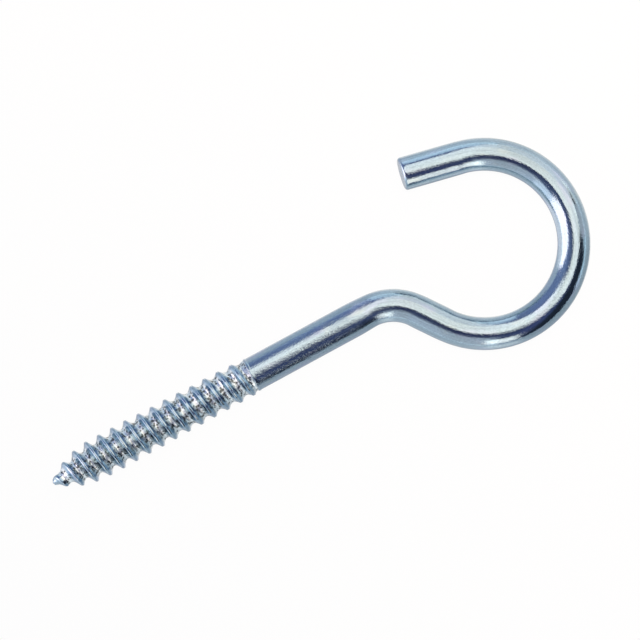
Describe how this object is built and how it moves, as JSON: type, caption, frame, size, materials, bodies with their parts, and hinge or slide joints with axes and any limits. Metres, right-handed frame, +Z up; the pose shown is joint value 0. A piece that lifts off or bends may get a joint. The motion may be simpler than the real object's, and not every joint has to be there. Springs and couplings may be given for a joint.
{
  "type": "screw hook",
  "caption": "Open wire hook with a large round bowl, a short neck bend, a plain shank and a right-hand wood thread ending in a gimlet point.",
  "frame": {"origin": "on the axis of the straight shank, at the shoulder where the thread ends", "axes": "+X along the shank from the thread towards the hook, +Y towards the side that the hook opens to, +Z up out of the plane of the hook"},
  "size_m": [0.0999, 0.0371, 0.007],
  "materials": {
    "zinc_wire": "bright zinc plated steel with a cool blue tinge, drawn and slightly mottled on the plain wire, matte and speckled in the thread's valleys"
  },
  "bodies": {
    "root": {"screw_hook": "zinc_wire"}
  },
  "joints": []
}
